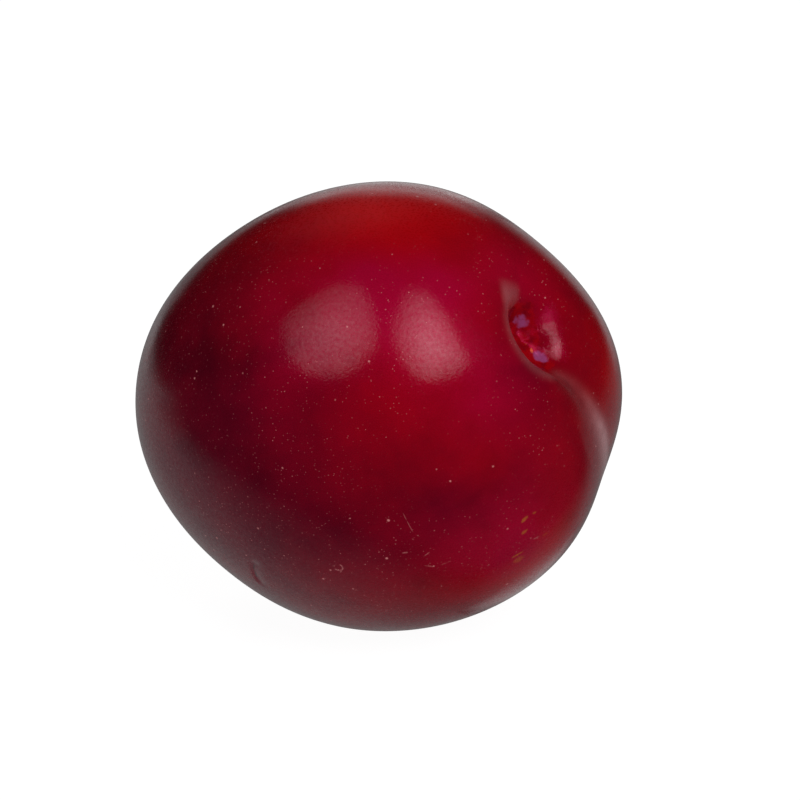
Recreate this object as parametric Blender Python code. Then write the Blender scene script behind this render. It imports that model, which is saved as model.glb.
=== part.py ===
"""A ripe red plum, lying on a small flat spot. Metres, +Z up.

The fruit is one solid. Its skin is worked out in the fruit's own frame, where +Z runs out
through the stem cavity, +X through the suture line and +Y through the far cheek. The fruit is
then laid down, so that the stem cavity looks up and forwards, and stood on its flat spot.
"""

import math

import bmesh
import bpy
from mathutils import Matrix, Vector

NAME = "plum"

# Half lengths of the body: stem to blossom end, suture to back, and cheek to cheek.
STEM_HALF = 0.0329
SUTURE_HALF = 0.0312
CHEEK_HALF = 0.0280
# How much wider than its middle the fruit is towards the blossom end, as a share.
BLOSSOM_FULLNESS = 0.067

# Broad flats, where the fruit grew less: degrees from the stem, degrees round from the
# suture towards the far cheek, depth in metres and spread in degrees.
FLATS = (
    (47, 90, 0.0009, 14),  # far shoulder
    (96, 164, 0.0020, 27),  # back
    (120, -98, 0.00095, 18),  # near cheek
    (63, 6, 0.00095, 14),  # over the suture
    (132, -3, 0.0033, 34),  # underside
)

# The suture line: a groove that leaves the cavity on its near side and nears the middle line as
# it runs down. Its near bank is narrow and steep by the cavity and broad further down.
GROOVE_DEPTH_AT_STEM = 0.0019
GROOVE_FADE = 30.0  # degrees
GROOVE_DEPTH_AT_BELLY = 0.00022
GROOVE_SHIFT = 0.0052
GROOVE_SHIFT_FADE = 12.5  # degrees
GROOVE_BANK_AT_STEM = 0.0010
GROOVE_BANK_AT_BELLY = 0.0045
GROOVE_BANK_SPAN = (5.0, 35.0)  # degrees from the stem over which the near bank broadens
GROOVE_FAR_BANK = 0.0050
GROOVE_START = 0.0050  # distance out from the stem at which the groove is full

# The near cheek swells beside the suture.
SWELL_HEIGHT = 0.0004
SWELL_OFFSET = 0.0080
SWELL_SPREAD = 0.0035
SWELL_END = 80.0  # degrees from the stem
SWELL_FADE = 50.0

# The cavity that the stem was pulled from: its near wall is steep under a crisp lip, and its far
# wall is a long slope.
CAVITY_ALONG = -0.0003
CAVITY_ASIDE = 0.0001
CAVITY_DEPTH = 0.0040
CAVITY_NEAR_RADIUS = 0.0043
CAVITY_FAR_RADIUS = 0.0032
CAVITY_FAR_WIDTH = 1.2
CAVITY_STRETCH = 0.06
CAVITY_STRETCH_BEARING = -25.0
CAVITY_NEAR_SHARPNESS = 6.0
CAVITY_FAR_SHARPNESS = 1.5
CAVITY_FAR_BEARING = 70.0

# The fold that carries the cavity's near lip on past it, the other way from the groove.
FOLD_ALONG = -0.0036
FOLD_ASIDE = 0.0016
FOLD_BEARING = 122.0
FOLD_DEPTH = 0.0023
FOLD_LENGTH = 0.0042
FOLD_NEAR_BANK = 0.0045
FOLD_NEAR_POWER = 1.2
FOLD_FAR_BANK = 0.0040

# The blossom end is a shallow dimple.
DIMPLE_DEPTH = 0.0005
DIMPLE_SPREAD = 7.2  # degrees

# How the fruit lies: turned about its stem, tipped over, then turned about the vertical.
ROLL = 35.5
TIP = 59.5
TURN = -45.2
FLAT_SPOT_DEPTH = 0.0005

MERIDIANS = 76
RINGS = 60
RING_CROWDING = 1.7  # above 1, the rings lie closer together at the stem end

SKIN_COLOUR = (0.16, 0.002, 0.006, 1.0)
SKIN_ROUGHNESS = 0.3


def clear_scene():
    for old in list(bpy.data.objects):
        bpy.data.objects.remove(old, do_unlink=True)


def smooth_step(share):
    share = min(max(share, 0.0), 1.0)
    return share * share * (3 - 2 * share)


def bell(distance, spread):
    return math.exp(-0.5 * (distance / spread) ** 2)


def direction_at(from_stem, from_suture):
    """The unit vector at these two angles, in radians, in the fruit's own frame."""
    out = math.sin(from_stem)
    return Vector((out * math.cos(from_suture), out * math.sin(from_suture), math.cos(from_stem)))


def body_point(direction):
    """The smooth body: an ellipsoid that is fuller towards the blossom end."""
    fullness = 1 - BLOSSOM_FULLNESS * direction.z
    return Vector((
        SUTURE_HALF * fullness * direction.x,
        CHEEK_HALF * fullness * direction.y,
        STEM_HALF * direction.z,
    ))


def flats_depth(direction):
    depth = 0.0
    for from_stem, from_suture, deepest, spread in FLATS:
        middle = direction_at(math.radians(from_stem), math.radians(from_suture))
        depth += deepest * bell(math.degrees(direction.angle(middle)), spread)
    return depth


def groove_depth(from_stem, point):
    """The suture's groove, less the swell of the near cheek beside it."""
    down = math.degrees(from_stem)
    aside = point.y + GROOVE_SHIFT * math.exp(-down / GROOVE_SHIFT_FADE)
    first, last = GROOVE_BANK_SPAN
    broad = smooth_step((down - first) / (last - first))
    near_bank = GROOVE_BANK_AT_STEM + (GROOVE_BANK_AT_BELLY - GROOVE_BANK_AT_STEM) * broad
    bank = near_bank if aside < 0 else GROOVE_FAR_BANK
    depth = GROOVE_DEPTH_AT_STEM * bell(down, GROOVE_FADE)
    depth += GROOVE_DEPTH_AT_BELLY * math.sin(from_stem)
    swell = SWELL_HEIGHT * bell(point.y + SWELL_OFFSET, SWELL_SPREAD)
    swell *= smooth_step((SWELL_END - down) / SWELL_FADE)
    out = smooth_step(point.x / GROOVE_START)
    return out * (depth * bell(aside, bank) - swell)


def cavity_depth(point):
    """How far the stem cavity drops the skin, along the stem's own direction."""
    x, y = point.x - CAVITY_ALONG, point.y - CAVITY_ASIDE
    bearing = math.degrees(math.atan2(y, x))
    far = (1 + math.cos(math.radians(bearing - CAVITY_FAR_BEARING))) / 2
    radius = CAVITY_NEAR_RADIUS + (CAVITY_FAR_RADIUS - CAVITY_NEAR_RADIUS) * far**CAVITY_FAR_WIDTH
    radius *= 1 + CAVITY_STRETCH * math.cos(2 * math.radians(bearing - CAVITY_STRETCH_BEARING))
    sharpness = CAVITY_NEAR_SHARPNESS + (CAVITY_FAR_SHARPNESS - CAVITY_NEAR_SHARPNESS) * far
    return CAVITY_DEPTH * math.exp(-((math.hypot(x, y) / radius) ** sharpness))


def fold_depth(point):
    """How far the fold beside the cavity drops the skin, also along the stem's direction."""
    x, y = point.x - FOLD_ALONG, point.y - FOLD_ASIDE
    turn = math.radians(FOLD_BEARING)
    along = x * math.cos(turn) + y * math.sin(turn)
    across = x * math.sin(turn) - y * math.cos(turn)
    if across < 0:
        bank = math.exp(-(abs(across / FOLD_NEAR_BANK) ** FOLD_NEAR_POWER))
    else:
        bank = bell(across, FOLD_FAR_BANK)
    return FOLD_DEPTH * bank * bell(along, FOLD_LENGTH)


def skin_point(direction):
    """The finished skin in one direction from the fruit's middle."""
    from_stem = direction.angle(Vector((0, 0, 1)))
    point = body_point(direction)
    depth = flats_depth(direction) + groove_depth(from_stem, point)
    depth += DIMPLE_DEPTH * bell(180 - math.degrees(from_stem), DIMPLE_SPREAD)
    point -= depth * direction
    if point.z > 0:
        point.z -= cavity_depth(point) + fold_depth(point)
    return point


def crowd_to_stem(direction):
    """Slides a ring of the plain sphere towards the stem end, where the fine shape is."""
    from_stem = direction.angle(Vector((0, 0, 1)))
    crowded = math.pi * (from_stem / math.pi) ** RING_CROWDING
    return direction_at(crowded, math.atan2(direction.y, direction.x))


def shape_fruit(fruit):
    bmesh.ops.create_uvsphere(fruit, u_segments=MERIDIANS, v_segments=RINGS, radius=1.0)
    for vertex in fruit.verts:
        vertex.co = skin_point(crowd_to_stem(vertex.co.normalized()))


def lay_down(fruit):
    lie = Matrix.Rotation(math.radians(TURN), 3, "Z")
    lie @= Matrix.Rotation(math.radians(TIP), 3, "Y")
    lie @= Matrix.Rotation(math.radians(ROLL), 3, "Z")
    bmesh.ops.rotate(fruit, cent=(0, 0, 0), matrix=lie, verts=fruit.verts)


def press_flat_spot(fruit):
    """Cuts the small flat spot that the fruit rests on, and closes it with one flat face."""
    level = min(vertex.co.z for vertex in fruit.verts) + FLAT_SPOT_DEPTH
    whole = fruit.verts[:] + fruit.edges[:] + fruit.faces[:]
    bmesh.ops.bisect_plane(
        fruit, geom=whole, plane_co=(0, 0, level), plane_no=(0, 0, -1), clear_outer=True
    )
    rim = [edge for edge in fruit.edges if edge.is_boundary]
    bmesh.ops.edgeloop_fill(fruit, edges=rim)
    bmesh.ops.recalc_face_normals(fruit, faces=fruit.faces)


def stand_on_origin(fruit):
    """Moves the fruit so that the origin is the middle of its box, at the bottom."""
    low = Vector([min(vertex.co[axis] for vertex in fruit.verts) for axis in range(3)])
    high = Vector([max(vertex.co[axis] for vertex in fruit.verts) for axis in range(3)])
    middle = (low + high) / 2
    bmesh.ops.translate(fruit, vec=(-middle.x, -middle.y, -low.z), verts=fruit.verts)


def skin_material():
    material = bpy.data.materials.new("plum_skin")
    material.use_nodes = True
    shader = material.node_tree.nodes["Principled BSDF"]
    shader.inputs["Base Color"].default_value = SKIN_COLOUR
    shader.inputs["Roughness"].default_value = SKIN_ROUGHNESS
    shader.inputs["Metallic"].default_value = 0.0
    return material


def make_plum():
    fruit = bmesh.new()
    shape_fruit(fruit)
    lay_down(fruit)
    press_flat_spot(fruit)
    stand_on_origin(fruit)
    mesh = bpy.data.meshes.new(NAME)
    fruit.to_mesh(mesh)
    fruit.free()
    mesh.shade_smooth()
    mesh.set_sharp_from_angle(angle=math.radians(50))
    mesh.materials.append(skin_material())
    plum = bpy.data.objects.new(NAME, mesh)
    bpy.context.scene.collection.objects.link(plum)
    return plum


clear_scene()
make_plum()
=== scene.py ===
"""Looks of the plum: its finished skin, the pale floor, the soft studio light and the camera.

Metres, +Z up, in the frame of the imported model. The skin's shape is worked out in the fruit's
own frame, where +Z runs out through the stem cavity, +X through the suture line and +Y through
the far cheek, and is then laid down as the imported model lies.
"""

import math

import bmesh
import bpy
import numpy as np
from mathutils import Matrix, Vector, noise


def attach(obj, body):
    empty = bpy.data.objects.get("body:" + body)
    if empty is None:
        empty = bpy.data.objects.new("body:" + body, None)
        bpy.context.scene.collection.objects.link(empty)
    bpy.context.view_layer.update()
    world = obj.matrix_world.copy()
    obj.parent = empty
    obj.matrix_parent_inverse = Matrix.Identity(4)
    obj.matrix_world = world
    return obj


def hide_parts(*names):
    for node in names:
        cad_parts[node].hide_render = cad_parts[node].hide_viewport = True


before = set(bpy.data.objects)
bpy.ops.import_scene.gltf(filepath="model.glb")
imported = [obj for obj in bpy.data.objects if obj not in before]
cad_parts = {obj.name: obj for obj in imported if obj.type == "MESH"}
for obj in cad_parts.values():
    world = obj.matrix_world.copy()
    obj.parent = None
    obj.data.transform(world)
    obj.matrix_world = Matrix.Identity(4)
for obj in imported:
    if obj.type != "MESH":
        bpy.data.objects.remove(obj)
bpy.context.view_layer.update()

# ---------------------------------------------------------------- the fruit's shape

# Half lengths of the body: stem to blossom end, suture to back, and cheek to cheek. Then how much
# wider than its middle the fruit is towards the blossom end, as a share.
STEM_HALF = 0.0329
SUTURE_HALF = 0.0312
CHEEK_HALF = 0.0280
BLOSSOM_FULLNESS = 0.067

# Broad flats: degrees from the stem, degrees round from the suture, depth, spread in degrees.
FLATS = (
    (47, 90, 0.0009, 14),  # far shoulder
    (96, 164, 0.0020, 27),  # back
    (120, -98, 0.00095, 18),  # near cheek
    (63, 6, 0.00095, 14),  # over the suture
    (132, -3, 0.0033, 34),  # underside
)

# The suture line: a groove that leaves the cavity on its near side and nears the middle line
# as it runs down. Its near bank is narrow and steep by the cavity and broad further down.
GROOVE_DEPTH_AT_STEM = 0.0019
GROOVE_FADE = 30.0  # degrees
GROOVE_DEPTH_AT_BELLY = 0.00022
GROOVE_SHIFT = 0.0052
GROOVE_SHIFT_FADE = 12.5  # degrees
GROOVE_BANK_AT_STEM = 0.0010
GROOVE_BANK_AT_BELLY = 0.0045
GROOVE_BANK_SPAN = (5.0, 35.0)  # degrees from the stem over which the near bank broadens
GROOVE_FAR_BANK = 0.0050
GROOVE_START = 0.0050  # distance out from the stem at which the groove is full

# The near cheek swells beside the suture.
SWELL_HEIGHT = 0.0004
SWELL_OFFSET = 0.0080
SWELL_SPREAD = 0.0035
SWELL_END = 80.0  # degrees from the stem
SWELL_FADE = 50.0

# The stem cavity: its near wall is steep under a crisp lip, and its far wall is a long slope. Its
# middle is a little off the stem's axis. Its radius goes from the near to the far one round it,
# and is stretched along one bearing. Bearings are degrees from the suture, round the stem.
CAVITY_ALONG = -0.0003
CAVITY_ASIDE = 0.0001
CAVITY_DEPTH = 0.0040
CAVITY_NEAR_RADIUS = 0.0043
CAVITY_FAR_RADIUS = 0.0032
CAVITY_FAR_POWER = 1.2
CAVITY_STRETCH = 0.06
CAVITY_STRETCH_BEARING = -25.0
CAVITY_NEAR_SHARPNESS = 6.0
CAVITY_FAR_SHARPNESS = 1.5
CAVITY_FAR_BEARING = 70.0

# The fold that carries the cavity's near lip on past it, the other way from the groove: where its
# crease starts and which way it runs, its depth and length, and the banks beside the crease.
FOLD_ALONG = -0.0036
FOLD_ASIDE = 0.0016
FOLD_BEARING = 122.0
FOLD_DEPTH = 0.0023
FOLD_LENGTH = 0.0042
FOLD_NEAR_BANK = 0.0045
FOLD_NEAR_POWER = 1.2
FOLD_FAR_BANK = 0.0040

# The blossom end is a shallow dimple.
DIMPLE_DEPTH = 0.0005
DIMPLE_SPREAD = 7.2  # degrees

# How the fruit lies, in degrees, and the flat spot that its weight presses.
ROLL = 35.5
TIP = 59.5
TURN = -45.2
FLAT_SPOT_DEPTH = 0.0005

# Slow swells and hollows over the whole skin.
WAVE_HEIGHT = 0.00003
WAVE_LENGTH = 0.010

# A nick in the near cheek: its two ends and its bow in the fruit's own metres, the share of its
# length over which each end fades out, its depth, and how far its steep and its gentle side reach.
NICK_START = (-0.0043, -0.0272, -0.0041)
NICK_END = (0.0006, -0.0263, -0.0097)
NICK_TAPER = 0.25
NICK_BOW = 0.0006
NICK_DEPTH = 0.00022
NICK_STEEP_SIDE = 0.00021
NICK_GENTLE_SIDE = 0.00065
NICK_MESH_REACH = 0.0022  # the mesh is finer within this distance of it
NICK_MESH_CUTS = 5

# The crumbs of the stem's scar stand up, from a little way outside its edge.
CRUMBLE_HEIGHT = 0.00005
CRUMBLE_LENGTH = 0.0006
CRUMBLE_MARGIN = 0.5  # mm

MERIDIANS = 376
RINGS = 236
END_CROWDING = 0.6  # from 0 to 1: how much closer the rings lie at the two ends

# ---------------------------------------------------------------- the skin's colours

DARK_SKIN = (0.118, 0.0004, 0.0110)
RED_SKIN = (0.62, 0.0007, 0.0014)
VIOLET_SKIN = (0.46, 0.001, 0.030)
LENTICEL = (0.90, 0.30, 0.30)
# Pale wax bloom, partly a painted highlight along the near lip, the fold and the groove.
BLOOM_AND_SHEEN = (0.84, 0.46, 0.48)
RUSSET = (0.62, 0.19, 0.02)
# Painted shade for the dark line in the nick.
NICK_SHADE = (0.035, 0.002, 0.005)
SCAR_RED = (0.42, 0.001, 0.005)
SCAR_DARK = (0.26, 0.001, 0.006)
# Purple scar tissue, partly a painted highlight where the scar's ends catch the light.
SCAR_PURPLE_AND_GLINT = (0.40, 0.070, 0.22)
SCAR_ORANGE = (0.85, 0.14, 0.04)
CORK = (0.42, 0.20, 0.09)

# Noise that the finish follows: the size of its blobs in millimetres, and its detail.
BROAD_CLOUDS = (9.0, 3.0)
FINE_CLOUDS = (1.6, 4.0)
GRAIN = (0.30, 2.0)
CRUMBS = (0.55, 3.0)
GLOSS_CLOUDS = (0.40, 3.0)

# How far the clouds swing the ripeness, the ripeness of the darkest and the reddest skin, and the
# values of the broad clouds between which a violet cast comes in.
BROAD_SWING = 0.50
FINE_SWING = 0.14
RIPENESS_SPAN = (-0.15, 1.05)
VIOLET_CLOUDS = (0.2, 0.7)

# Dots on the skin: spacing and radius in millimetres, and the share of places that have one. The
# small ones come in from the first to the second of these heights, in millimetres along the
# stem's axis, and in patches, between these values of the broad and the fine clouds.
LARGE_DOTS = (2.0, 0.24, 0.7)
SMALL_DOTS = (0.44, 0.11, 0.9)
PITS = (0.55, 0.13, 0.5)
LOW_HEIGHTS = (24.0, 4.0)
LOW_THICKNESS = 0.6
BROAD_PATCHES = (0.40, 0.62)
FINE_PATCHES = (0.40, 0.60)
PIT_PATCHES = (0.50, 0.62)
SMALL_DOT_STRENGTH = 0.6
DOT_SIZE_SPREAD = 0.6  # the smallest dots are smaller than the largest by this share
DOT_EDGE = (1.0, 0.35)  # shares of a dot's radius between which it fades out
STREAK_EDGE = (1.3, 0.3)  # the same for a streak, as squares of the share

# The stem's scar: how ragged and how soft its edge is in millimetres, the values of the fine
# clouds between which its red darkens, and thin spots of colour, each as its colour, two ends and
# half width in the fruit's own millimetres, and raggedness.
SCAR_RAG = 1.0
SCAR_EDGE = 0.45
SCAR_DARKENS = (0.60, 0.38)
SCAR_SPOTS = (
    # The purple spots are partly painted highlight.
    (SCAR_PURPLE_AND_GLINT, (-2.9, 2.2, 27.2), (-0.6, 2.7, 28.0), 0.95, 2.4),
    (SCAR_PURPLE_AND_GLINT, (1.4, -0.3, 27.9), (3.4, -0.5, 28.8), 0.70, 2.4),
    (SCAR_ORANGE, (0.1, 0.7, 27.3), (0.5, 0.1, 27.5), 0.22, 3.0),
    (SCAR_ORANGE, (1.0, 0.1, 27.8), (1.5, -0.4, 28.0), 0.20, 3.0),
)

# Marks on the skin, given in the same way, with a strength before the raggedness.
MARKS = (
    (RUSSET, (12.7, -16.1, 22.1), (12.6, -15.4, 23.0), 0.28, 0.55, 3.0),
    (RUSSET, (12.9, -14.9, 23.2), (13.2, -14.4, 23.5), 0.16, 0.40, 3.0),
    (RUSSET, (14.2, -16.4, 20.7), (14.2, -15.8, 21.4), 0.26, 0.50, 3.0),
    (RUSSET, (16.1, -17.6, 17.4), (16.7, -16.4, 18.4), 0.13, 0.75, 1.5),
    (RUSSET, (17.0, -17.4, 16.7), (17.5, -16.3, 17.6), 0.60, 0.30, 2.0),
    (RUSSET, (17.1, -14.2, 20.4), (17.4, -13.6, 20.8), 0.18, 0.25, 3.0),
    (LENTICEL, (16.3, -15.3, 20.1), (16.7, -14.6, 20.4), 0.09, 0.45, 2.0),
    (LENTICEL, (0.3, -22.9, 17.4), (1.4, -23.1, 17.0), 0.05, 0.30, 1.5),
    (LENTICEL, (1.4, -23.1, 17.0), (3.2, -23.3, 16.3), 0.06, 0.33, 2.0),
    (LENTICEL, (4.5, -24.5, 13.3), (5.0, -24.2, 13.9), 0.12, 0.45, 3.0),
    (LENTICEL, (6.8, -23.6, 14.3), (6.8, -23.2, 15.2), 0.08, 0.50, 3.0),
    (LENTICEL, (8.0, -23.8, 13.3), (9.0, -23.3, 13.7), 0.10, 0.30, 4.0),
    (LENTICEL, (9.4, -22.9, 14.3), (9.9, -22.2, 15.3), 0.10, 0.22, 4.0),
    (LENTICEL, (-11.3, 11.1, 26.8), (-11.2, 10.9, 26.9), 0.14, 0.50, 0.5),
    (DARK_SKIN, (-13.2, 12.2, 25.0), (-11.3, 10.9, 26.9), 0.10, 0.85, 1.0),
    # Painted shade along the nick's steep side, in these two.
    (NICK_SHADE, (-3.4, -26.9, -5.8), (-2.3, -26.6, -7.3), 0.16, 0.70, 1.0),
    (NICK_SHADE, (-2.4, -26.6, -7.1), (-0.7, -26.4, -8.8), 0.17, 0.85, 1.0),
)

# A broken curl of dust: its middle, radius and fade in the fruit's own millimetres, the values
# of the crumbs between which it breaks, and its strength.
CURL_MIDDLE = (1.4, -27.0, 6.0)
CURL_RADIUS = 0.55
CURL_FADE = (0.14, 0.02)
CURL_BREAKS = (0.42, 0.56)
CURL_STRENGTH = 0.65

# The old flower's scar at the far end: its half width, the half length that it runs across, both
# in millimetres, its raggedness and its strength.
BLOSSOM_SCAR_WIDTH = 0.8
BLOSSOM_SCAR_REACH = 0.4
BLOSSOM_SCAR_RAG = 2.0
BLOSSOM_SCAR_STRENGTH = 0.8

# Where the skin is redder, or darker where it says less than nothing: degrees from the stem,
# degrees round from the suture, how much, and spread in degrees. The rest has the base's. Most
# are the skin's own blush; the redness over the back is painted light, and the darkening in the
# shelter of the near lip is painted shade.
BASE_BLUSH = 0.12
BLUSHES_AND_PAINTED_LIGHT = (
    (58, -43, 0.72, 12),  # near shoulder, low
    (46, -64, -0.14, 9),
    (52, -14, -0.12, 14),  # over the suture
    (52, -83, -0.14, 5),
    (78, -90, -0.10, 8),
    (77, -120, 0.12, 5),
    (42, -47, -0.12, 7),
    (38, -79, 0.18, 5),
    (36, -48, 0.18, 6),
    (43, -93, 0.14, 10),  # near cheek, by the shoulder
    (59, -106, 0.14, 11),
    (42, -138, 0.32, 22),  # near cheek
    (30, -116, 0.10, 8),
    (77, -150, 0.16, 7),
    (84, -130, -0.22, 21),  # near cheek, by the blossom end
    (95, -107, -0.12, 11),
    (72, -64, 0.24, 8),  # near cheek, low
    (90, -80, 0.14, 10),
    (62, -157, 0.14, 7),
    # Painted light: redder over the back, as if lit there from behind, in these two.
    (50, 160, 0.66, 17),  # over the back
    (59, 161, 0.20, 8),
    (84, 172, 0.22, 13),  # back
    (25, 0, 0.20, 25),  # round the stem
    (31, 26, 0.22, 7),
    # Painted shade: darker in the shelter of the near lip.
    (16, -90, -0.22, 7),  # in the shelter of the near lip
    (70, 60, 0.30, 30),  # far cheek
)

# Where the skin has a violet cast, given in the same way.
VIOLETS = (
    (54, -51, 1.0, 13),  # near shoulder, low
    (26, -109, 1.0, 8),  # near shoulder, high
    (45, -164, 0.9, 6),  # near cheek
    (28, -170, 0.9, 6),
    (37, -148, 0.8, 8),
    (58, -154, 0.7, 9),
    (72, -80, 0.2, 22),  # near cheek, low
    (16, 150, 0.6, 8),  # behind the stem
    (80, -140, 0.35, 20),  # near cheek, by the blossom end
)

# The pale wax near the stem, which is partly a painted highlight on the fold, the near lip and the
# groove: how much there is, and where it lies. By the fold and the near lip, each
# place is given as its nearer and further limits and a fade; the lip's line is at a share of the
# cavity's radius. The mottle is its change with the fine clouds, and its least. In the groove it
# thickens twice, each time from a start and over a distance out from the stem.
SHEEN_BLOOM_BY_FOLD = 0.16
SHEEN_BLOOM_ALONG_FOLD = (-2.8e-3, 1.4e-3, 2.2e-3)
SHEEN_BLOOM_ACROSS_FOLD = (-2.6e-3, -0.9e-3, 1.4e-3)
SHEEN_BLOOM_BY_LIP = 0.09
SHEEN_BLOOM_LIP = 1.27
SHEEN_BLOOM_LIP_SPREAD = 0.11
SHEEN_BLOOM_BEARINGS = (-165.0, -45.0, 18.0)
SHEEN_BLOOM_MOTTLE = (0.9, 0.55)
SHEEN_BLOOM_IN_GROOVE = (0.07, 0.56)
SHEEN_BLOOM_GROOVE_STARTS = ((0.0030, 0.0015), (0.0080, 0.0100))
SHEEN_BLOOM_GROOVE_LINE = -0.0004  # from the groove's deepest line
SHEEN_BLOOM_GROOVE_BANKS = (0.0014, 0.0008)  # its spread to the near and to the far side
SHEEN_BLOOM_GROOVE_END = 50.0  # degrees from the stem
SHEEN_BLOOM_GROOVE_FADE = 30.0

# The scar that the stem left on the cavity's floor reaches this far across and out. The floor is
# dull a little further across, and all of it past a place along the scar. The dull skin's edge is
# ragged, and fades in between two distances inside it.
SCAR_BEARING = -38.0
SCAR_HALF_WIDTH = 0.00195
SCAR_RADIUS = 0.0046
DULL_HALF_WIDTH = 0.00200
DULL_FROM = 0.0009
DULL_RAG = 0.6  # mm
DULL_EDGE = (0.2, 0.7)  # mm

# The finish: a tinted gloss under a clear one that is uneven, and duller in the pits and the scar.
ROUGHNESS = 0.23
ROUGHNESS_SWING = 0.10
IOR = 1.5
GLOSS_TINT = (1.0, 0.02, 0.26)
CLEAR_GLOSS = -0.05
CLEAR_GLOSS_SWING = 1.8
CLEAR_GLOSS_ROUGHNESS = 0.09
PIT_DULLNESS = 0.7
SCAR_DULLNESS = 0.9

# The finest relief, in millimetres.
GRAIN_HEIGHT = 0.0110
FINE_HEIGHT = 0.0140
DOT_HEIGHT = 0.0080
CRUMB_HEIGHT = 0.02

# ---------------------------------------------------------------- view and light

# The camera: degrees above the horizon, metres from the fruit's middle, lens and sensor in
# millimetres, what it can see from and to, and how far right and up of the middle it aims.
CAMERA_ELEVATION = 20.0
CAMERA_DISTANCE = 0.285
CAMERA_LENS = 100.2
CAMERA_SENSOR = 36.0
CAMERA_NEAREST = 0.01
CAMERA_FURTHEST = 20.0
CAMERA_AIM_RIGHT = 0.0022
CAMERA_AIM_UP = 0.0008

# The soft lights of the room, which the gloss doesn't show: name, azimuth, elevation and watts.
ROOM_LIGHTS = (("key", 30, 42, 1.72), ("back", 195, 38, 0.66))
ROOM_LIGHT_DISTANCE = 0.6
ROOM_LIGHT_SIZE = 0.35

# The room's even light on the fruit, and the white that the camera sees behind everything.
ROOM_FILL = 0.19
ROOM_WHITE = 0.99

# What the skin mirrors: two windows with soft edges, each as its name, azimuth, elevation,
# strength, brightest place (across, up), share of the strength at its corners with that share's
# change per metre across and up, and corners (across, up, reach of the fade). Across is to the
# right as the fruit sees it.
WINDOW_DISTANCE = 0.6
WINDOWS = (
    (
        "window_left", -50, 40, 1.42, (-0.085, 0.0), (0.35, -0.8, -0.3),
        (
            (0.095, 0.275, 0.02), (0.02, 0.28, 0.025), (-0.07, 0.23, 0.02), (-0.16, 0.145, 0.02),
            (-0.22, 0.065, 0.03), (-0.24, -0.02, 0.05), (-0.22, -0.14, 0.06), (-0.17, -0.20, 0.05),
            (-0.10, -0.225, 0.03), (-0.03, -0.22, 0.02), (0.04, -0.18, 0.02),
            (0.09, -0.12, 0.02), (0.13, -0.07, 0.02), (0.165, -0.03, 0.02),
            (0.182, 0.02, 0.02), (0.17, 0.09, 0.02), (0.155, 0.16, 0.02), (0.13, 0.235, 0.02),
        ),
    ),
    (
        "window_right", 10, 42, 2.75, (-0.01, -0.035), (0.22, -0.1, -0.5),
        (
            (0.045, 0.33, 0.04), (-0.05, 0.33, 0.04), (-0.085, 0.27, 0.03), (-0.12, 0.18, 0.015),
            (-0.145, 0.10, 0.015), (-0.16, 0.0, 0.015), (-0.185, -0.09, 0.02), (-0.16, -0.16, 0.03),
            (-0.10, -0.215, 0.02), (-0.03, -0.245, 0.02), (0.02, -0.25, 0.02),
            (0.065, -0.24, 0.02), (0.10, -0.20, 0.02), (0.14, -0.10, 0.02),
            (0.158, 0.02, 0.02), (0.145, 0.10, 0.02), (0.115, 0.18, 0.015), (0.08, 0.26, 0.02),
        ),
    ),
)

# What the rim of the skin mirrors: patches of the pale table, each with its corners (x, y, reach
# of the fade), strength, and share of it at the corners with its change per metre; and patches of
# the backdrop, each with its corners (x, z, reach of the fade), strength and power of the fade.
TABLE_CARDS = (
    (
        "table_glow",
        (
            (-0.16, 0.10, 0.20), (-0.10, 0.02, 0.04), (-0.065, -0.010, 0.03),
            (-0.030, -0.018, 0.03), (-0.010, -0.018, 0.025), (0.0, -0.012, 0.020),
            (0.011, -0.007, 0.016), (0.028, -0.002, 0.020), (0.048, 0.006, 0.018),
            (0.073, 0.025, 0.020), (0.09, 0.075, 0.09), (0.12, 0.20, 0.35), (-0.12, 0.20, 0.40),
        ),
        0.17, (1.0, -2.4, 0.0),
    ),
    (
        "table_patch",
        (
            (0.016, -0.009, 0.006), (0.025, -0.006, 0.007), (0.031, 0.002, 0.010),
            (0.022, 0.003, 0.010),
        ),
        0.24, (1.0, 0.0, 0.0),
    ),
)
TABLE_CARD_LEVEL = -0.0002
BACKDROP_DISTANCE = 0.5
BACKDROP_CARDS = (
    (
        "backdrop_high",
        (
            (-0.09, 0.03, 0.06), (0.06, 0.03, 0.06), (0.07, 0.17, 0.22), (0.0, 0.16, 0.19),
            (-0.06, 0.12, 0.11),
        ),
        0.46, 1.5,
    ),
    (
        "backdrop_low",
        ((-0.01, -0.01, 0.12), (0.28, -0.01, 0.22), (0.25, 0.07, 0.22), (0.0, 0.06, 0.17)),
        0.27, 1.2,
    ),
    (
        "backdrop_left",
        ((-0.28, -0.01, 0.15), (-0.10, -0.01, 0.05), (-0.11, 0.065, 0.05), (-0.28, 0.035, 0.06)),
        0.13, 1.0,
    ),
)

# The floor: half its width, its level just under the fruit, how pale it is in the light, and how
# much it glows to the camera and on the fruit.
FLOOR_HALF = 4.0
FLOOR_LEVEL = -0.00005
FLOOR_PALENESS = 0.15
FLOOR_GLOW = 0.965
FLOOR_FILL = 0.36


def smooth_step(share):
    share = np.clip(share, 0.0, 1.0)
    return share * share * (3 - 2 * share)


def bell(distance, spread):
    return np.exp(-0.5 * (distance / spread) ** 2)


def directions_at(from_stem, from_suture):
    """Unit vectors at these angles, in radians, in the fruit's own frame."""
    out = np.sin(from_stem)
    return np.stack((out * np.cos(from_suture), out * np.sin(from_suture), np.cos(from_stem)), -1)


def body_points(directions):
    fullness = 1 - BLOSSOM_FULLNESS * directions[:, 2]
    points = directions * (SUTURE_HALF, CHEEK_HALF, STEM_HALF)
    points[:, :2] *= fullness[:, None]
    return points


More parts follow.
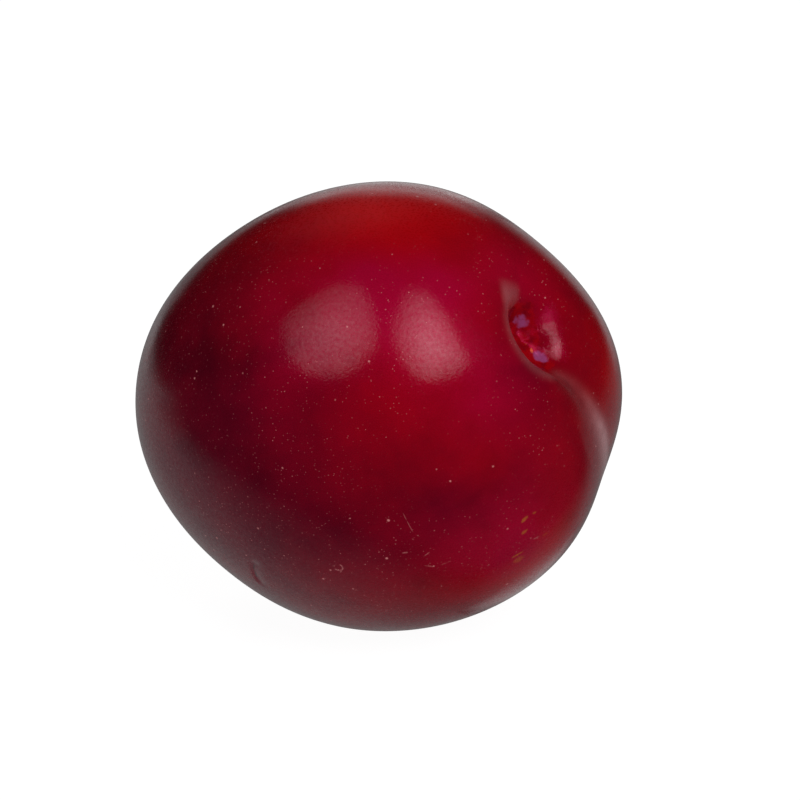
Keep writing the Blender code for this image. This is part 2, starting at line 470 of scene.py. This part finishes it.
def patches(directions, places):
    """The sum of soft round patches, each given by its place, strength and spread."""
    share = np.zeros(len(directions))
    for from_stem, from_suture, most, spread in places:
        middle = directions_at(math.radians(from_stem), math.radians(from_suture))
        away = np.degrees(np.arccos(np.clip(directions @ middle, -1, 1)))
        share += most * bell(away, spread)
    return share


def degrees_down(directions):
    return np.degrees(np.arccos(np.clip(directions[:, 2], -1, 1)))


def beside_groove(directions, points):
    """Distance from the groove's deepest line, towards the far cheek, in metres."""
    return points[:, 1] + GROOVE_SHIFT * np.exp(-degrees_down(directions) / GROOVE_SHIFT_FADE)


def groove_depth(directions, points):
    """The suture's groove, less the swell of the near cheek beside it."""
    down = degrees_down(directions)
    aside = beside_groove(directions, points)
    first, last = GROOVE_BANK_SPAN
    broad = smooth_step((down - first) / (last - first))
    near_bank = GROOVE_BANK_AT_STEM + (GROOVE_BANK_AT_BELLY - GROOVE_BANK_AT_STEM) * broad
    bank = np.where(aside < 0, near_bank, GROOVE_FAR_BANK)
    depth = GROOVE_DEPTH_AT_STEM * bell(down, GROOVE_FADE)
    depth += GROOVE_DEPTH_AT_BELLY * np.sin(np.radians(down))
    swell = SWELL_HEIGHT * bell(points[:, 1] + SWELL_OFFSET, SWELL_SPREAD)
    swell *= smooth_step((SWELL_END - down) / SWELL_FADE)
    out = smooth_step(points[:, 0] / GROOVE_START)
    return out * (depth * bell(aside, bank) - swell)


def round_cavity(points):
    """Bearing round the cavity's middle, in degrees, how far it is the far side, from 0 to 1, and
    the distance from the middle as a share of the cavity's radius there."""
    x, y = points[:, 0] - CAVITY_ALONG, points[:, 1] - CAVITY_ASIDE
    bearing = np.degrees(np.arctan2(y, x))
    far = (1 + np.cos(np.radians(bearing - CAVITY_FAR_BEARING))) / 2
    radius = CAVITY_NEAR_RADIUS + (CAVITY_FAR_RADIUS - CAVITY_NEAR_RADIUS) * far**CAVITY_FAR_POWER
    radius *= 1 + CAVITY_STRETCH * np.cos(2 * np.radians(bearing - CAVITY_STRETCH_BEARING))
    return bearing, far, np.hypot(x, y) / radius


def cavity_depth(points):
    _, far, share = round_cavity(points)
    sharpness = CAVITY_NEAR_SHARPNESS + (CAVITY_FAR_SHARPNESS - CAVITY_NEAR_SHARPNESS) * far
    return CAVITY_DEPTH * np.exp(-(share**sharpness))


def along_fold(points):
    """Distances along the fold's crease from its start, and across it towards the far side."""
    x, y = points[:, 0] - FOLD_ALONG, points[:, 1] - FOLD_ASIDE
    turn = math.radians(FOLD_BEARING)
    along = x * math.cos(turn) + y * math.sin(turn)
    return along, x * math.sin(turn) - y * math.cos(turn)


def fold_depth(points):
    along, across = along_fold(points)
    near = np.exp(-(np.abs(across / FOLD_NEAR_BANK) ** FOLD_NEAR_POWER))
    bank = np.where(across < 0, near, bell(across, FOLD_FAR_BANK))
    return FOLD_DEPTH * bank * bell(along, FOLD_LENGTH)


def rough(points, length):
    """Noise between about -1 and 1 with bumps of that length."""
    return np.array([noise.noise(Vector(point)) for point in points / length])


def between(value, low, high, fade):
    """1 between the two, fading to 0 over the fade outside them."""
    return smooth_step((value - low) / fade + 1) * smooth_step((high - value) / fade + 1)


def bloom_and_sheen(directions, points):
    """How thick the pale wax and painted highlight are by the fold, the near lip and in the groove.
    """
    along, across = along_fold(points)
    by_fold = between(along, *SHEEN_BLOOM_ALONG_FOLD) * between(across, *SHEEN_BLOOM_ACROSS_FOLD)
    bearing, _, share = round_cavity(points)
    by_lip = bell(share - SHEEN_BLOOM_LIP, SHEEN_BLOOM_LIP_SPREAD) * between(bearing, *SHEEN_BLOOM_BEARINGS)
    aside = beside_groove(directions, points) - SHEEN_BLOOM_GROOVE_LINE
    by_groove = bell(aside, np.where(aside < 0, *SHEEN_BLOOM_GROOVE_BANKS))
    thickness = 0.0
    for most, (start, rise) in zip(SHEEN_BLOOM_IN_GROOVE, SHEEN_BLOOM_GROOVE_STARTS):
        thickness += most * smooth_step((points[:, 0] - start) / rise)
    by_groove *= thickness
    by_groove *= smooth_step(1 - (degrees_down(directions) - SHEEN_BLOOM_GROOVE_END) / SHEEN_BLOOM_GROOVE_FADE)
    share = np.maximum(SHEEN_BLOOM_BY_FOLD * by_fold, SHEEN_BLOOM_BY_LIP * by_lip)
    return np.where(points[:, 2] > 0, np.maximum(share, by_groove), 0.0)


def scar_and_dull(points):
    """How far inside the edge of the stem's scar, and of the dull skin round it, a place is, in
    millimetres."""
    x, y = points[:, 0] - CAVITY_ALONG, points[:, 1] - CAVITY_ASIDE
    turn = math.radians(SCAR_BEARING)
    along = x * math.cos(turn) + y * math.sin(turn)
    across = y * math.cos(turn) - x * math.sin(turn)
    round_edge = SCAR_RADIUS - np.hypot(x, y)
    scar = np.minimum(SCAR_HALF_WIDTH - across, round_edge)
    dull = np.minimum(np.maximum(DULL_HALF_WIDTH - across, -DULL_FROM - along), round_edge)
    by_stem = points[:, 2] > 0
    return np.where(by_stem, 1000 * scar, -1.0), np.where(by_stem, 1000 * dull, -1.0)


def nick_depth(points):
    start, end = np.array(NICK_START), np.array(NICK_END)
    length = np.linalg.norm(end - start)
    along = (end - start) / length
    outwards_here = (start + end) / np.linalg.norm(start + end)
    side = np.cross(along, outwards_here)
    share = (points - start) @ along / length
    aside = (points - start) @ side - NICK_BOW * 4 * share * (1 - share)
    depth = bell(aside, np.where(aside < 0, NICK_GENTLE_SIDE, NICK_STEEP_SIDE))
    depth *= smooth_step(share / NICK_TAPER) * smooth_step((1 - share) / NICK_TAPER)
    return np.where(points @ outwards_here > 0, NICK_DEPTH * depth, 0.0)


def skin_points(directions):
    points = body_points(directions)
    depth = patches(directions, FLATS) + groove_depth(directions, points)
    depth += DIMPLE_DEPTH * bell(180 - degrees_down(directions), DIMPLE_SPREAD)
    points -= depth[:, None] * directions
    by_stem = points[:, 2] > 0
    points[:, 2] -= np.where(by_stem, cavity_depth(points) + fold_depth(points), 0.0)
    points -= nick_depth(points)[:, None] * directions
    return points


def crowd_to_ends(directions):
    """Slides the rings of an even sphere towards both ends, where the fine shape is."""
    share = np.arccos(np.clip(directions[:, 2], -1, 1)) / math.pi
    share -= END_CROWDING * np.sin(2 * math.pi * share) / (2 * math.pi)
    return directions_at(share * math.pi, np.arctan2(directions[:, 1], directions[:, 0]))


def lie_matrix():
    lie = Matrix.Rotation(math.radians(TURN), 3, "Z")
    lie @= Matrix.Rotation(math.radians(TIP), 3, "Y")
    lie @= Matrix.Rotation(math.radians(ROLL), 3, "Z")
    return np.array(lie)


def sphere_mesh():
    """A mesh of unit directions, and the directions. It is finer round the nick."""
    sphere = bmesh.new()
    bmesh.ops.create_uvsphere(sphere, u_segments=MERIDIANS, v_segments=RINGS, radius=1.0)
    directions = crowd_to_ends(np.array([corner.co for corner in sphere.verts]))
    for corner, direction in zip(sphere.verts, directions):
        corner.co = direction
    start, end = np.array(NICK_START), np.array(NICK_END)
    points = body_points(directions)
    share = np.clip((points - start) @ (end - start) / ((end - start) @ (end - start)), 0, 1)
    away = np.linalg.norm(points - start - share[:, None] * (end - start), axis=1)
    near = {corner for corner, far in zip(sphere.verts, away) if far < NICK_MESH_REACH}
    edges = [edge for edge in sphere.edges if near.issuperset(edge.verts)]
    bmesh.ops.subdivide_edges(sphere, edges=edges, cuts=NICK_MESH_CUTS, use_grid_fill=True)
    mesh = bpy.data.meshes.new("plum_skin")
    sphere.to_mesh(mesh)
    sphere.free()
    directions = np.array([corner.co for corner in mesh.vertices])
    return mesh, directions / np.linalg.norm(directions, axis=1)[:, None]


def make_plum():
    """The plum's mesh, and where the fruit's middle is in the model's frame."""
    mesh, directions = sphere_mesh()
    own = skin_points(directions)
    own += WAVE_HEIGHT * rough(own, WAVE_LENGTH)[:, None] * directions
    scar, dull = scar_and_dull(own)
    crumbly = smooth_step(scar + CRUMBLE_MARGIN)
    own[:, 2] += CRUMBLE_HEIGHT * crumbly * rough(own, CRUMBLE_LENGTH)
    points = own @ lie_matrix().T
    level = points[:, 2].min() + FLAT_SPOT_DEPTH
    points[:, 2] = np.maximum(points[:, 2], level)
    box_middle = (points.min(0) + points.max(0)) / 2
    middle = Vector((-box_middle[0], -box_middle[1], -level))
    points += np.array(middle)
    mesh.vertices.foreach_set("co", points.astype(np.float32).ravel())
    own_place = mesh.attributes.new("own_place", "FLOAT_VECTOR", "POINT")
    own_place.data.foreach_set("vector", (own * 1000).astype(np.float32).ravel())
    paint = {
        "blush_and_painted_light": BASE_BLUSH + patches(directions, BLUSHES_AND_PAINTED_LIGHT),
        "violet": patches(directions, VIOLETS),
        "bloom_and_sheen": bloom_and_sheen(directions, own),
        "scar": scar,
        "dull": dull,
    }
    for name, shares in paint.items():
        attribute = mesh.attributes.new(name, "FLOAT", "POINT")
        attribute.data.foreach_set("value", shares.astype(np.float32))
    mesh.shade_smooth()
    mesh.update()
    mesh.materials.append(skin_material(Vector(1000 * own[np.argmin(directions[:, 2])])))
    plum = bpy.data.objects.new("plum_fruit", mesh)
    bpy.context.scene.collection.objects.link(plum)
    return plum, middle


# ---------------------------------------------------------------- materials


class Nodes:
    """Adds nodes to a material or the world. An input given as a socket is linked, and as a value
    is set."""

    def __init__(self, owner):
        self.tree = owner.node_tree

    def add(self, kind, inputs, **settings):
        node = self.tree.nodes.new(kind)
        for name, value in settings.items():
            setattr(node, name, value)
        for key, value in inputs.items():
            if isinstance(value, bpy.types.NodeSocket):
                self.tree.links.new(value, node.inputs[key])
            else:
                node.inputs[key].default_value = value
        return node

    def attribute(self, name):
        return self.add("ShaderNodeAttribute", {}, attribute_name=name)

    def math(self, operation, *values):
        return self.add("ShaderNodeMath", dict(enumerate(values)), operation=operation).outputs[0]

    def step(self, value, low, high):
        """0 at low, 1 at high, and smooth between."""
        inputs = {"Value": value, "From Min": low, "From Max": high}
        return self.add("ShaderNodeMapRange", inputs, interpolation_type="SMOOTHSTEP").outputs[0]

    def mix(self, share, first, second):
        ends = {
            0: share,
            6: first if isinstance(first, bpy.types.NodeSocket) else (*first, 1.0),
            7: second if isinstance(second, bpy.types.NodeSocket) else (*second, 1.0),
        }
        return self.add("ShaderNodeMix", ends, data_type="RGBA").outputs[2]

    def cloud(self, place, size, detail):
        """Noise round 0.5 with blobs about that size, in millimetres."""
        inputs = {"Vector": place, "Scale": 1 / size, "Detail": detail}
        return self.add("ShaderNodeTexNoise", inputs).outputs["Fac"]

    def dots(self, place, spacing, radius, share):
        """Round dots of unequal size on that share of the places of a random grid."""
        cells = self.add("ShaderNodeTexVoronoi", {"Vector": place, "Scale": 1 / spacing})
        apart = self.math("MULTIPLY", cells.outputs["Distance"], spacing)
        chance = self.add("ShaderNodeSeparateColor", {0: cells.outputs["Color"]})
        spread = radius * DOT_SIZE_SPREAD
        size = self.math("MULTIPLY_ADD", chance.outputs[0], spread, radius - spread)
        inside = self.math("DIVIDE", apart, size)
        there = self.math("LESS_THAN", chance.outputs[1], share)
        return self.math("MULTIPLY", self.step(inside, *DOT_EDGE), there)

    def streak(self, place, start, end, width, noise_value, rag):
        """1 in a thin spot between two places, with an edge made ragged by the noise."""
        start, end = Vector(start), Vector(end)
        along = (end - start).normalized()
        half = (end - start).length / 2
        away = self.add(
            "ShaderNodeVectorMath", {0: place, 1: (start + end) / 2}, operation="SUBTRACT"
        ).outputs[0]
        dot = {"operation": "DOT_PRODUCT"}
        whole = self.add("ShaderNodeVectorMath", {0: away, 1: away}, **dot).outputs["Value"]
        run = self.add("ShaderNodeVectorMath", {0: away, 1: along}, **dot).outputs["Value"]
        run = self.math("MULTIPLY", run, run)
        aside = self.math("DIVIDE", self.math("SUBTRACT", whole, run), width**2)
        far = self.math("MULTIPLY_ADD", run, half**-2, aside)
        far = self.math("ADD", far, self.math("MULTIPLY_ADD", noise_value, rag, -rag / 2))
        return self.step(far, *STREAK_EDGE)


def ripe_and_lit_colour(nodes, broad, fine):
    """Dark red to bright red, in clouds, with a violet cast here and there, and the painted light
    and shade that the blushes carry.
    """
    ripe_and_lit = nodes.attribute("blush_and_painted_light").outputs["Fac"]
    for clouds, swing in ((broad, BROAD_SWING), (fine, FINE_SWING)):
        ripe_and_lit = nodes.math("ADD", ripe_and_lit, nodes.math("MULTIPLY_ADD", clouds, swing, -swing / 2))
    colour = nodes.mix(nodes.step(ripe_and_lit, *RIPENESS_SPAN), DARK_SKIN, RED_SKIN)
    violet = nodes.attribute("violet").outputs["Fac"]
    violet = nodes.math("MULTIPLY", violet, nodes.step(broad, *VIOLET_CLOUDS))
    return nodes.mix(violet, colour, VIOLET_SKIN)


def lenticels(nodes, place, broad, fine):
    """Pale dots: large ones scattered, and small ones thick on the lower half."""
    height = nodes.add("ShaderNodeSeparateXYZ", {0: place}).outputs[2]
    low = nodes.step(height, *LOW_HEIGHTS)
    patchy = nodes.math(
        "MULTIPLY", nodes.step(broad, *BROAD_PATCHES), nodes.step(fine, *FINE_PATCHES)
    )
    thickness = nodes.math("MULTIPLY_ADD", low, LOW_THICKNESS, patchy)
    small = nodes.math("MULTIPLY", nodes.dots(place, *SMALL_DOTS), thickness)
    small = nodes.math("MULTIPLY", small, SMALL_DOT_STRENGTH)
    return nodes.math("MAXIMUM", nodes.dots(place, *LARGE_DOTS), small)


def stem_scar(nodes, place, fine, crumbs):
    """The share of the stem's scar, and its colour: purple ends, partly painted highlight, and a
    few orange flecks.
    """
    edge = nodes.attribute("scar").outputs["Fac"]
    rag = nodes.math("MULTIPLY_ADD", crumbs, SCAR_RAG, -SCAR_RAG / 2)
    scar = nodes.step(nodes.math("ADD", edge, rag), 0.0, SCAR_EDGE)
    colour = nodes.mix(nodes.step(fine, *SCAR_DARKENS), SCAR_RED, SCAR_DARK)
    for tint, start, end, width, rag in SCAR_SPOTS:
        colour = nodes.mix(nodes.streak(place, start, end, width, crumbs, rag), colour, tint)
    return scar, colour


def add_marks(nodes, place, crumbs, colour, blossom_end):
    """Russet, scratches, the nick's painted shade, a curl of dust, and the old flower's scar."""
    for tint, start, end, width, strength, rag in MARKS:
        mark = nodes.streak(place, start, end, width, crumbs, rag)
        colour = nodes.mix(nodes.math("MULTIPLY", mark, strength), colour, tint)
    away = nodes.add("ShaderNodeVectorMath", {0: place, 1: CURL_MIDDLE}, operation="DISTANCE")
    away = nodes.math("SUBTRACT", away.outputs["Value"], CURL_RADIUS)
    curl = nodes.step(nodes.math("ABSOLUTE", away), *CURL_FADE)
    curl = nodes.math("MULTIPLY", curl, nodes.step(crumbs, *CURL_BREAKS))
    colour = nodes.mix(nodes.math("MULTIPLY", curl, CURL_STRENGTH), colour, LENTICEL)
    reach = Vector((BLOSSOM_SCAR_REACH, 0, 0))
    start, end = blossom_end - reach, blossom_end + reach
    scar = nodes.streak(place, start, end, BLOSSOM_SCAR_WIDTH, crumbs, BLOSSOM_SCAR_RAG)
    return nodes.mix(nodes.math("MULTIPLY", scar, BLOSSOM_SCAR_STRENGTH), colour, CORK)


def clear_gloss(nodes, place, fine, crumbs):
    """How strong the clear gloss is: uneven, and weaker in the pits and round the scar."""
    gloss = nodes.math(
        "MULTIPLY_ADD", nodes.cloud(place, *GLOSS_CLOUDS), CLEAR_GLOSS_SWING, CLEAR_GLOSS
    )
    pits = nodes.math("MULTIPLY", nodes.dots(place, *PITS), nodes.step(fine, *PIT_PATCHES))
    dull = nodes.attribute("dull").outputs["Fac"]
    dull = nodes.step(nodes.math("MULTIPLY_ADD", crumbs, DULL_RAG, dull), *DULL_EDGE)
    for share, dullness in ((pits, PIT_DULLNESS), (dull, SCAR_DULLNESS)):
        gloss = nodes.math("MULTIPLY", gloss, nodes.math("MULTIPLY_ADD", share, -dullness, 1.0))
    return gloss


def fine_relief(nodes, grain, fine, specks, crumble):
    """A bumped normal for relief that is too fine for the mesh."""
    height = nodes.math("MULTIPLY", grain, GRAIN_HEIGHT)
    for share, most in ((fine, FINE_HEIGHT), (specks, DOT_HEIGHT), (crumble, CRUMB_HEIGHT)):
        height = nodes.math("MULTIPLY_ADD", share, most, height)
    return nodes.add("ShaderNodeBump", {"Height": height, "Distance": 0.001}).outputs[0]


def skin_material(blossom_end):
    """The plum's skin. The blossom end is given in the fruit's own millimetres."""
    material = bpy.data.materials.new("plum_skin")
    material.use_nodes = True
    nodes = Nodes(material)
    place = nodes.attribute("own_place").outputs["Vector"]
    broad = nodes.cloud(place, *BROAD_CLOUDS)
    fine = nodes.cloud(place, *FINE_CLOUDS)
    grain = nodes.cloud(place, *GRAIN)
    crumbs = nodes.cloud(place, *CRUMBS)

    colour = ripe_and_lit_colour(nodes, broad, fine)
    specks = lenticels(nodes, place, broad, fine)
    colour = nodes.mix(specks, colour, LENTICEL)
    # Pale wax, partly a painted highlight on the near lip, the fold and the groove.
    bloom_and_sheen_share = nodes.attribute("bloom_and_sheen").outputs["Fac"]
    bloom_and_sheen_share = nodes.math("MULTIPLY", bloom_and_sheen_share, nodes.math("MULTIPLY_ADD", fine, *SHEEN_BLOOM_MOTTLE))
    colour = nodes.mix(bloom_and_sheen_share, colour, BLOOM_AND_SHEEN)
    scar, scar_colour = stem_scar(nodes, place, fine, crumbs)
    colour = nodes.mix(scar, colour, scar_colour)
    colour = add_marks(nodes, place, crumbs, colour, blossom_end)
    normal = fine_relief(nodes, grain, fine, specks, nodes.math("MULTIPLY", scar, crumbs))

    shader = material.node_tree.nodes["Principled BSDF"]
    linked = {
        "Base Color": colour,
        "Roughness": nodes.math("MULTIPLY_ADD", grain, ROUGHNESS_SWING, ROUGHNESS),
        "Coat Weight": clear_gloss(nodes, place, fine, crumbs),
        "Normal": normal,
        "Coat Normal": normal,
    }
    for name, socket in linked.items():
        material.node_tree.links.new(socket, shader.inputs[name])
    shader.inputs["IOR"].default_value = IOR
    shader.inputs["Specular IOR Level"].default_value = 1.0
    shader.inputs["Specular Tint"].default_value = (*GLOSS_TINT, 1.0)
    shader.inputs["Coat Roughness"].default_value = CLEAR_GLOSS_ROUGHNESS
    return material


# ---------------------------------------------------------------- surroundings


def outwards(outline, reach):
    """The outline moved outwards by its own reach at each corner. It runs anticlockwise."""
    moved = []
    for before, here, after, far in zip(
        outline[-1:] + outline[:-1], outline, outline[1:] + outline[:1], reach
    ):
        along = (Vector(here) - Vector(before)).normalized()
        along += (Vector(after) - Vector(here)).normalized()
        along.normalize()
        moved.append((here[0] + along.y * far, here[1] - along.x * far))
    return moved


def panel(
    name, centre, right, up, corners, strength, falloff=1.0, edge=(1.0, 0.0, 0.0), heart=None
):
    """A glowing card. Each corner is (x, y, reach), in metres along right and up from its centre:
    the glow fades out over that reach beyond the corners. The edge gives the share of the
    strength at the corners and its change per metre along right and up. The glow is full at the
    heart, where there is one. Where cards overlap, their glows add up."""
    inner = [corner[:2] for corner in corners]
    outer = outwards(inner, [corner[2] for corner in corners])
    places = inner + outer + ([heart] if heart else [])
    points = [Vector(centre) + Vector(right) * x + Vector(up) * y for x, y in places]
    count = len(inner)
    faces = [] if heart else [list(range(count))]
    for i in range(count):
        after = (i + 1) % count
        faces.append((i, count + i, count + after, after))
        if heart:
            faces.append((2 * count, i, after))
    mesh = bpy.data.meshes.new(name)
    mesh.from_pydata(points, [], faces)
    glow = mesh.attributes.new("glow", "FLOAT", "POINT")
    share, across, upwards = edge
    glows = [share + across * x + upwards * y for x, y in inner] + [0.0] * count
    glow.data.foreach_set("value", glows + ([1.0] if heart else []))
    card = bpy.data.objects.new(name, mesh)
    bpy.context.scene.collection.objects.link(card)
    mesh.materials.append(card_material(name, strength, falloff))
    card.visible_camera = False
    card.visible_shadow = False
    card.visible_diffuse = False


def card_material(name, strength, falloff):
    """Glows as its mesh says, and lets all light through."""
    material = bpy.data.materials.new(name)
    material.use_nodes = True
    material.node_tree.nodes.clear()
    nodes = Nodes(material)
    glow = nodes.math("POWER", nodes.attribute("glow").outputs["Fac"], falloff)
    glow = nodes.math("MULTIPLY", glow, strength)
    emission = nodes.add("ShaderNodeEmission", {"Strength": glow}).outputs[0]
    clear = nodes.add("ShaderNodeBsdfTransparent", {}).outputs[0]
    both = nodes.add("ShaderNodeAddShader", {0: emission, 1: clear}).outputs[0]
    nodes.add("ShaderNodeOutputMaterial", {"Surface": both})
    return material


def facing(azimuth, elevation):
    """Towards that azimuth and elevation, and the right and up of what is seen there."""
    turn, rise = math.radians(azimuth), math.radians(elevation)
    level = math.cos(rise)
    out = Vector((math.sin(turn) * level, -math.cos(turn) * level, math.sin(rise)))
    right = out.cross(Vector((0, 0, 1))).normalized()
    return out, right, right.cross(out)


def make_light(middle):
    """The cards that the gloss mirrors, and the lights that it doesn't."""
    for name, azimuth, elevation, strength, heart, edge, corners in WINDOWS:
        out, right, up = facing(azimuth, elevation)
        centre = middle + WINDOW_DISTANCE * out
        panel(name, centre, right, up, corners, strength, edge=edge, heart=heart)
    for name, corners, strength, edge in TABLE_CARDS:
        panel(name, (0, 0, TABLE_CARD_LEVEL), (1, 0, 0), (0, 1, 0), corners, strength, edge=edge)
    for name, corners, strength, falloff in BACKDROP_CARDS:
        panel(name, (0, BACKDROP_DISTANCE, 0), (1, 0, 0), (0, 0, 1), corners, strength, falloff)
    for name, azimuth, elevation, power in ROOM_LIGHTS:
        room_light(name, azimuth, elevation, power, middle)


def room_light(name, azimuth, elevation, power, middle):
    """A soft disk of light: it falls on the skin, and the gloss doesn't show it."""
    out, _, _ = facing(azimuth, elevation)
    light = bpy.data.objects.new(name, bpy.data.lights.new(name, "AREA"))
    bpy.context.scene.collection.objects.link(light)
    light.data.shape = "DISK"
    light.data.size = ROOM_LIGHT_SIZE
    light.data.energy = power
    light.location = middle + ROOM_LIGHT_DISTANCE * out
    light.rotation_mode = "QUATERNION"
    light.rotation_quaternion = out.to_track_quat("Z", "Y")
    light.visible_glossy = False
    light.visible_camera = False


def make_world():
    """White to the camera, an even soft light on the fruit, and dark in its gloss."""
    world = bpy.data.worlds.new("studio")
    bpy.context.scene.world = world
    world.use_nodes = True
    world.node_tree.nodes.clear()
    nodes = Nodes(world)
    rays = nodes.add("ShaderNodeLightPath", {}).outputs
    white = {"Color": (1.0, 1.0, 1.0, 1.0), "Strength": ROOM_WHITE}
    seen = nodes.add("ShaderNodeBackground", white).outputs[0]
    fill = nodes.add("ShaderNodeBackground", {"Strength": ROOM_FILL}).outputs[0]
    dark = nodes.add("ShaderNodeBackground", {"Strength": 0.0}).outputs[0]
    ends = {0: rays["Is Glossy Ray"], 1: fill, 2: dark}
    light = nodes.add("ShaderNodeMixShader", ends).outputs[0]
    ends = {0: rays["Is Camera Ray"], 1: light, 2: seen}
    both = nodes.add("ShaderNodeMixShader", ends).outputs[0]
    nodes.add("ShaderNodeOutputWorld", {"Surface": both})


def floor_material():
    """The camera sees it almost evenly white, with a faint shadow."""
    material = bpy.data.materials.new("floor")
    material.use_nodes = True
    material.node_tree.nodes.clear()
    nodes = Nodes(material)
    paleness = (FLOOR_PALENESS, FLOOR_PALENESS, FLOOR_PALENESS, 1.0)
    matt = nodes.add("ShaderNodeBsdfDiffuse", {"Color": paleness}).outputs[0]
    seen = nodes.add("ShaderNodeLightPath", {}).outputs["Is Camera Ray"]
    ends = {"Value": seen, "To Min": FLOOR_FILL, "To Max": FLOOR_GLOW}
    strength = nodes.add("ShaderNodeMapRange", ends).outputs["Result"]
    glow = nodes.add("ShaderNodeEmission", {"Strength": strength}).outputs[0]
    both = nodes.add("ShaderNodeAddShader", {0: matt, 1: glow}).outputs[0]
    nodes.add("ShaderNodeOutputMaterial", {"Surface": both})
    return material


def make_floor():
    """A plain white floor, which the gloss mirrors only by its cards."""
    mesh = bpy.data.meshes.new("floor")
    half, low = FLOOR_HALF, FLOOR_LEVEL
    corners = [(-half, -half, low), (half, -half, low), (half, half, low), (-half, half, low)]
    mesh.from_pydata(corners, [], [(0, 1, 2, 3)])
    floor = bpy.data.objects.new("floor", mesh)
    bpy.context.scene.collection.objects.link(floor)
    mesh.materials.append(floor_material())
    floor.visible_glossy = False


def make_camera(middle):
    """The camera, in front of the fruit and a little above it."""
    rise = math.radians(CAMERA_ELEVATION)
    back = Vector((0, -math.cos(rise), math.sin(rise)))
    up = Vector((0, math.sin(rise), math.cos(rise)))
    camera = bpy.data.objects.new("camera", bpy.data.cameras.new("camera"))
    bpy.context.scene.collection.objects.link(camera)
    camera.data.lens = CAMERA_LENS
    camera.data.sensor_width = CAMERA_SENSOR
    camera.data.clip_start = CAMERA_NEAREST
    camera.data.clip_end = CAMERA_FURTHEST
    camera.location = middle + back * CAMERA_DISTANCE
    aim = middle + Vector((CAMERA_AIM_RIGHT, 0, 0)) + up * CAMERA_AIM_UP
    camera.rotation_mode = "QUATERNION"
    camera.rotation_quaternion = (aim - camera.location).to_track_quat("-Z", "Y")
    bpy.context.scene.camera = camera


plum, fruit_middle = make_plum()
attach(plum, "root")
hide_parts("plum")

make_floor()
make_world()
make_light(fruit_middle)
make_camera(fruit_middle)
bpy.context.scene.view_settings.view_transform = "Standard"
